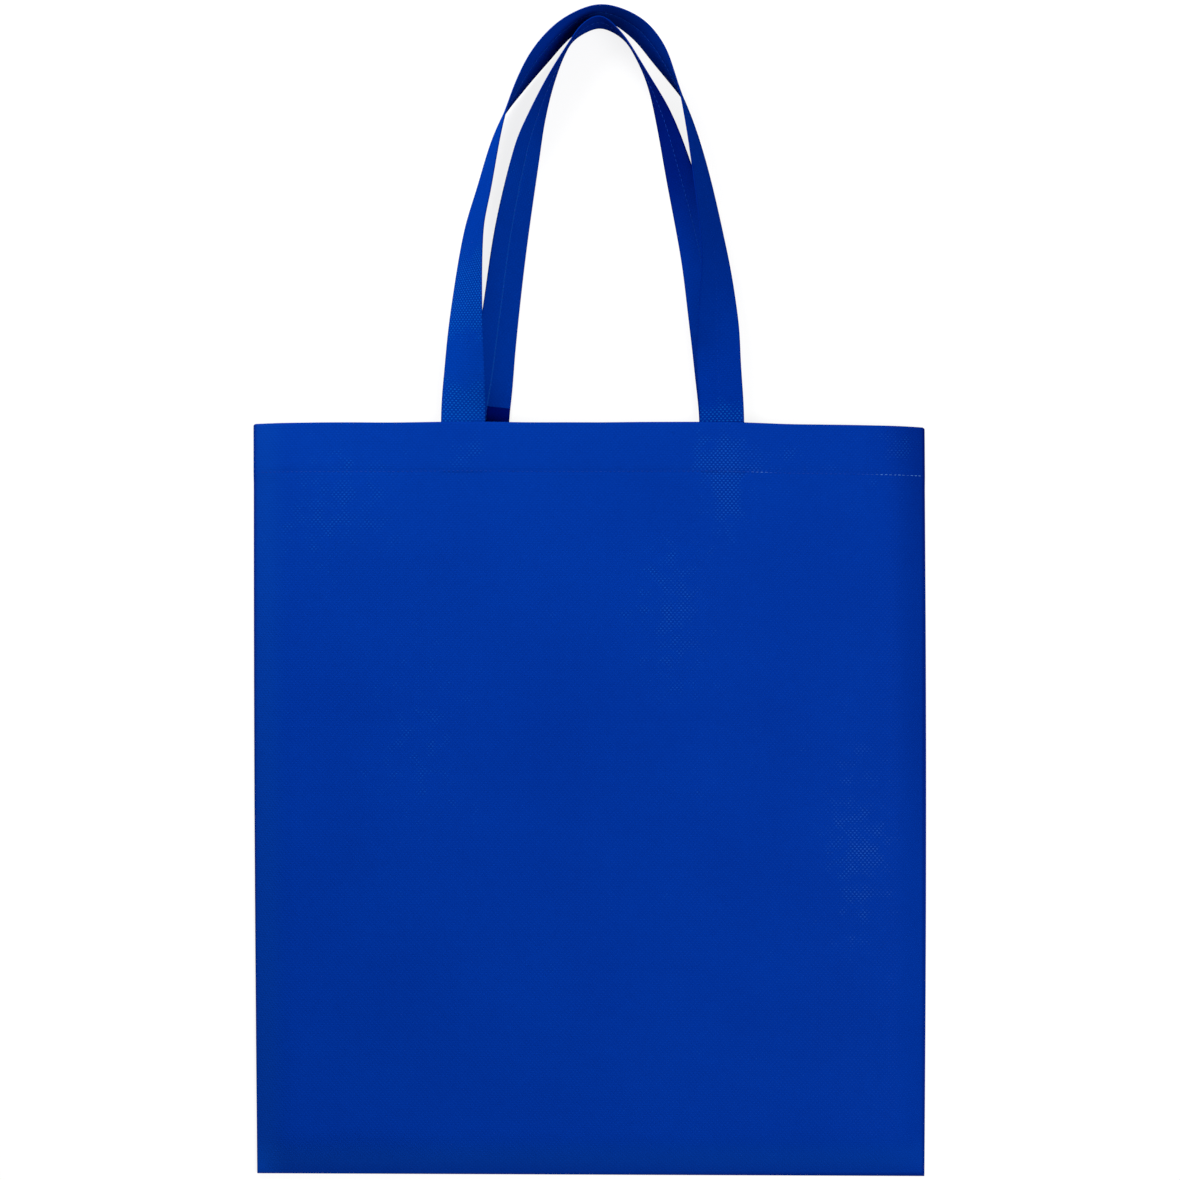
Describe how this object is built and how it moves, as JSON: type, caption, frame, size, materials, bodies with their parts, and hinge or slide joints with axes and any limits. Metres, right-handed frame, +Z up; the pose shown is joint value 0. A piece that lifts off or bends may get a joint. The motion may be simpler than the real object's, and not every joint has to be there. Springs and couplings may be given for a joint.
{
  "type": "non-woven shopping bag",
  "caption": "Flat, gusset-less shopping bag of non-woven sheet with two long strap handles, lying on its back panel.",
  "frame": {"origin": "middle of the whole part's bounding box in X and Y, at the height of the surface it lies on", "axes": "the bag lies flat on its back panel: +X to its right as seen from the front, +Y from the bottom fold past the mouth to the top of the handles, +Z up from the back panel to the front panel"},
  "size_m": [0.38, 0.659, 0.0307],
  "materials": {
    "sheet": "matt royal-blue non-woven polypropylene sheet with a fine embossed dot pattern",
    "front_strap": "the same sheet, folded to a strap",
    "back_strap": "the same sheet, folded to a strap"
  },
  "bodies": {
    "root": {"bag_body": "sheet", "front_handle": "front_strap", "back_handle": "back_strap"}
  },
  "joints": []
}
